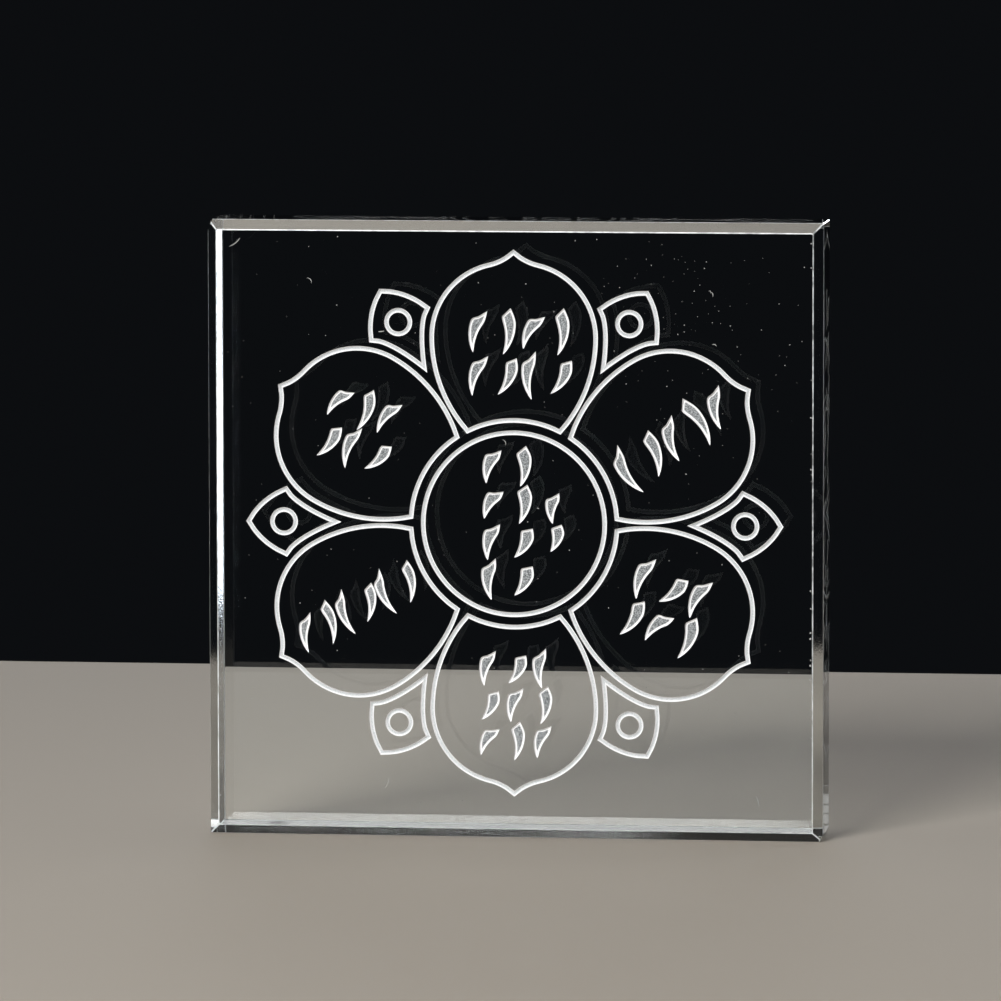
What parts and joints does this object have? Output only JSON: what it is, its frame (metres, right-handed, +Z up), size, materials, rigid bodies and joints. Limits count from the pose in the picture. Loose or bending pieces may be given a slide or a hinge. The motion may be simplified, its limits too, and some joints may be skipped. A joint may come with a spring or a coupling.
{
  "type": "engraved crystal paperweight",
  "caption": "Square plate of clear crystal with a chamfered front, engraved with a lotus, that stands on its edge to hold papers or for display.",
  "frame": {"origin": "middle of the underside that the plate stands on", "axes": "+Z up, +Y from the engraved front towards the plain back, +X to the right of someone facing the engraving"},
  "size_m": [0.08, 0.01, 0.08],
  "materials": {
    "clear_crystal": "clear and polished, with the engraving frosted white"
  },
  "bodies": {
    "root": {"crystal_plate": "clear_crystal"}
  },
  "joints": []
}
